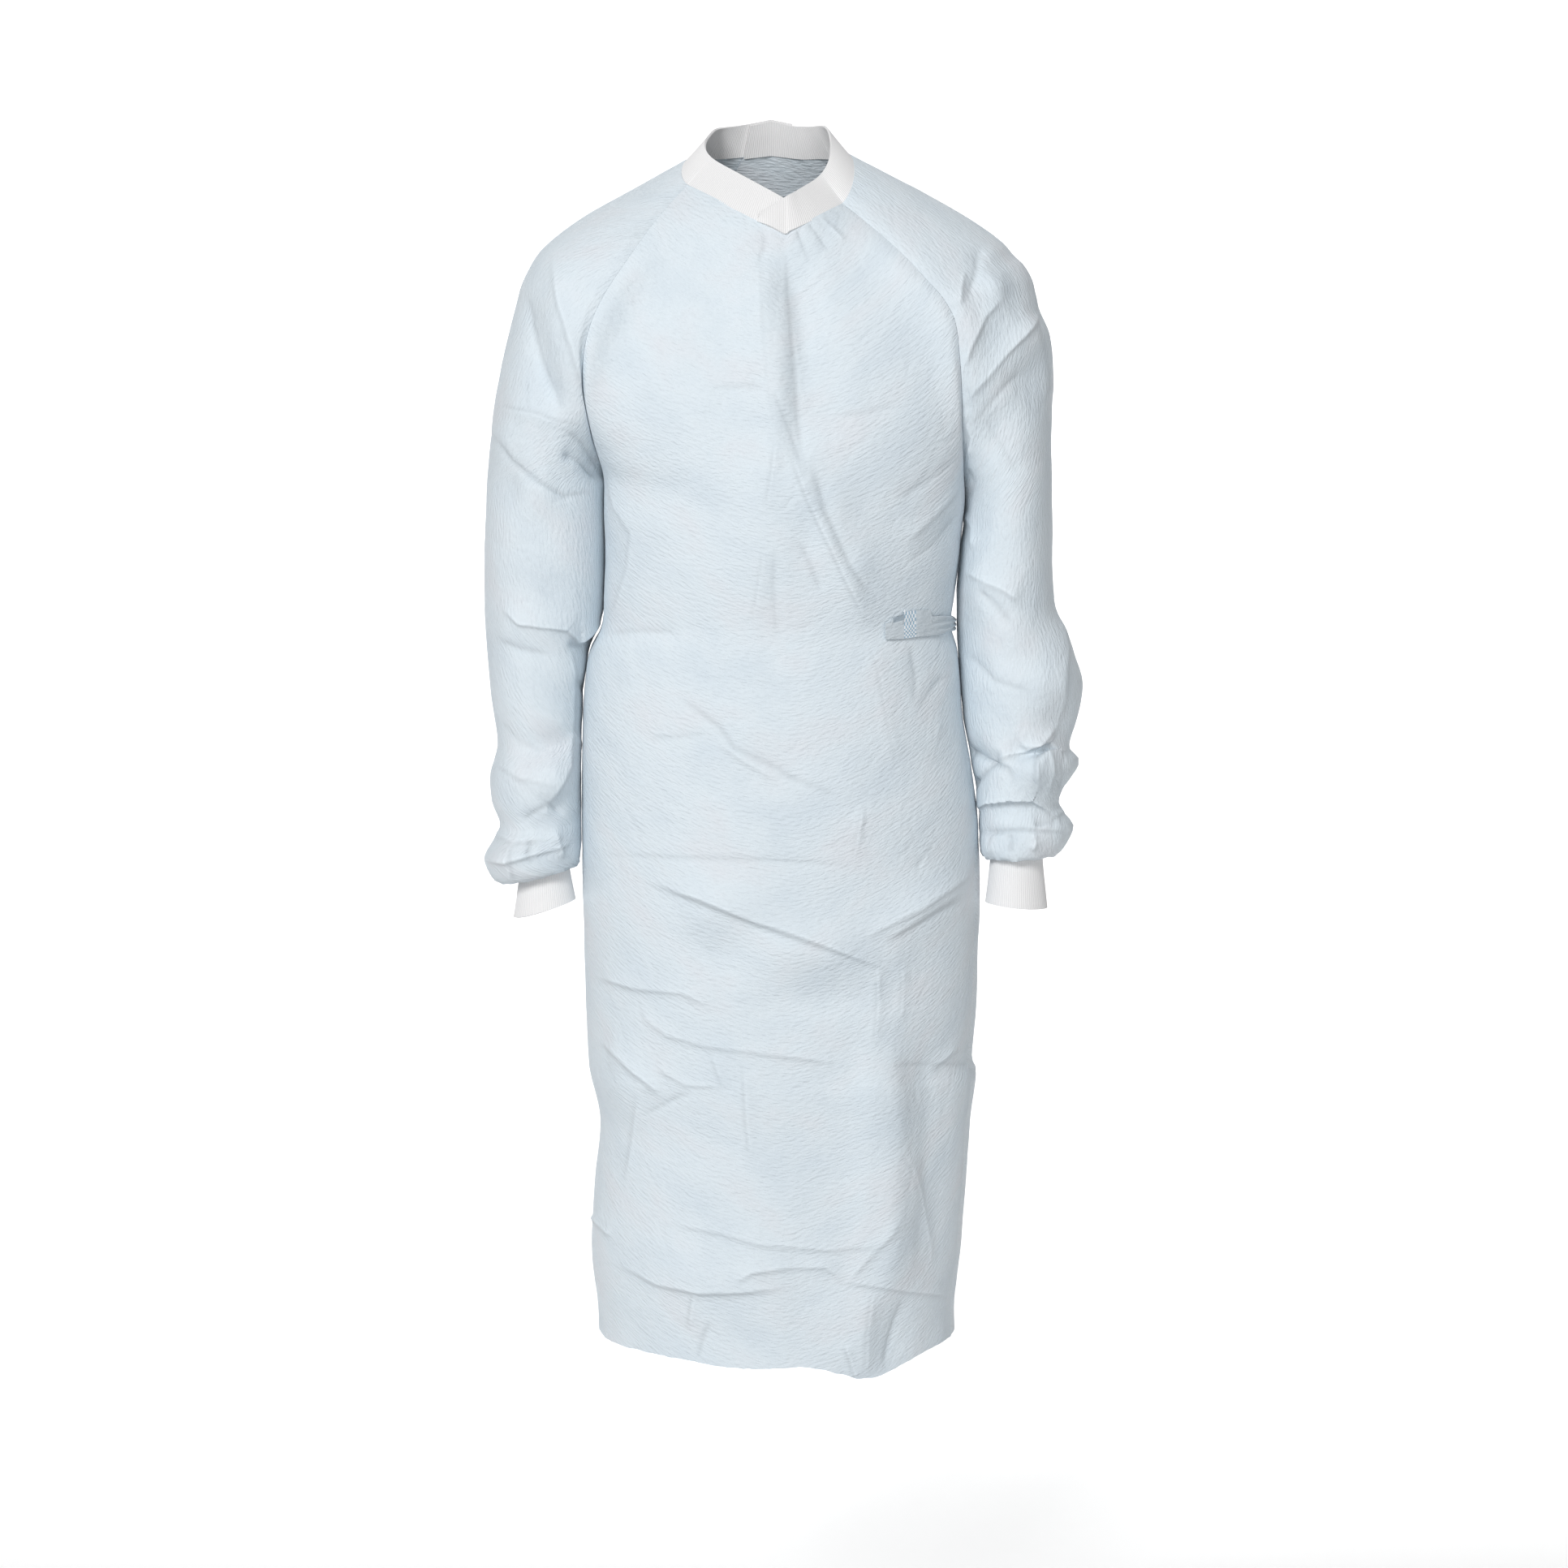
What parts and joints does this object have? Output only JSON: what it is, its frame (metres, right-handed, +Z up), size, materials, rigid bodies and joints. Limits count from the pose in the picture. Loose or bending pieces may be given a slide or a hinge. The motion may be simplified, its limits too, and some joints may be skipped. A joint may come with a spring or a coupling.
{
  "type": "surgical gown",
  "caption": "Long-sleeved surgical gown in its worn, hollow form, with raglan sleeves, a lapped rib-knit V neckband, rib-knit cuffs, a wrap-over back and a waist tie.",
  "frame": {"origin": "middle of the neck opening at the height of the shoulder line, where the wearer's shoulders carry the gown", "axes": "+Z up along the body, -Y to the front, +X to the wearer's left"},
  "size_m": [0.5629, 0.2564, 1.1704],
  "materials": {
    "gown_cloth": "pale blue spunbond nonwoven, matt, with a fine crepe",
    "rib_knit": "white fine rib knit",
    "tie_cloth": "pale blue nonwoven strip, folded lengthwise"
  },
  "bodies": {
    "root": {"front": "gown_cloth", "back_right": "gown_cloth", "back_left": "gown_cloth", "sleeve_right": "gown_cloth", "sleeve_left": "gown_cloth", "neckband_right": "rib_knit", "neckband_left": "rib_knit", "cuff_right": "rib_knit", "cuff_left": "rib_knit", "tie_front": "tie_cloth", "tie_back": "tie_cloth", "tie_tail_front": "tie_cloth", "tie_tail_back": "tie_cloth", "tie_knot": "tie_cloth"}
  },
  "joints": []
}
